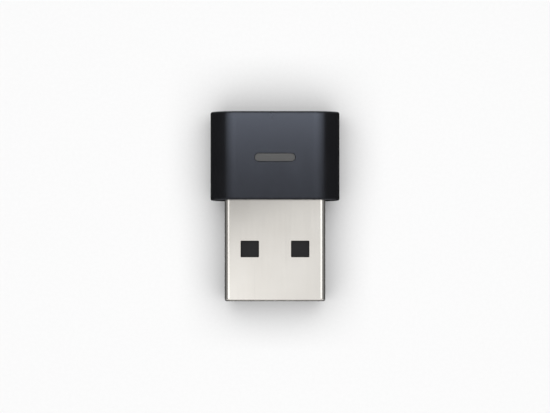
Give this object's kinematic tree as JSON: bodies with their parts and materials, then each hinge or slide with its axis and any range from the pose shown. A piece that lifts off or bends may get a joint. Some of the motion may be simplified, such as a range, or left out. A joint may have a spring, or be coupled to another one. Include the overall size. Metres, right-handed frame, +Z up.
{
  "type": "usb wifi adapter",
  "caption": "Nano USB wifi adapter: a steel type-A plug with latch windows and a short, wide, dark moulded body with rounded sides and a light slot in its top.",
  "frame": {"origin": "middle of the whole adapter's footprint, on the plane that its body rests on", "axes": "+X across the adapter, +Y from the plug's tip towards the body's closed end, +Z up, out of the face with the light slot"},
  "size_m": [0.0154, 0.0226, 0.007],
  "materials": {
    "cap_plastic": "satin",
    "collar_plastic": "satin",
    "guide_plastic": "satin",
    "plug_steel": "satin",
    "carrier_plastic": "satin",
    "board_laminate": "satin",
    "contact_gold": "gloss",
    "chip_resin": "matte",
    "tin": "satin",
    "crystal_ceramic": "matte",
    "crystal_lid_metal": "satin",
    "led_white": "satin",
    "led_lens": "gloss",
    "ferrite": "matte",
    "capacitor_ceramic": "satin",
    "resistor_ceramic": "satin",
    "matching_ceramic": "satin",
    "masked_copper": "satin"
  },
  "bodies": {
    "root": {"antenna_matching_parts": "matching_ceramic", "antenna_trace": "masked_copper", "capacitors": "capacitor_ceramic", "circuit_board": "board_laminate", "contact_data_minus": "contact_gold", "contact_data_plus": "contact_gold", "contact_ground": "contact_gold", "contact_power": "contact_gold", "crystal_base": "crystal_ceramic", "crystal_lid": "crystal_lid_metal", "front_collar": "collar_plastic", "light_guide": "guide_plastic", "outer_cap": "cap_plastic", "passive_terminals": "tin", "plug_carrier": "carrier_plastic", "plug_shell": "plug_steel", "power_inductor": "ferrite", "power_inductor_terminals": "tin", "resistors": "resistor_ceramic", "shell_solder": "tin", "status_led_base": "led_white", "status_led_lens": "led_lens", "status_led_terminals": "tin", "surge_protector": "chip_resin", "surge_protector_terminals": "tin", "voltage_regulator": "chip_resin", "voltage_regulator_leads": "tin", "wifi_chip": "chip_resin", "wifi_chip_terminals": "tin"}
  },
  "joints": []
}
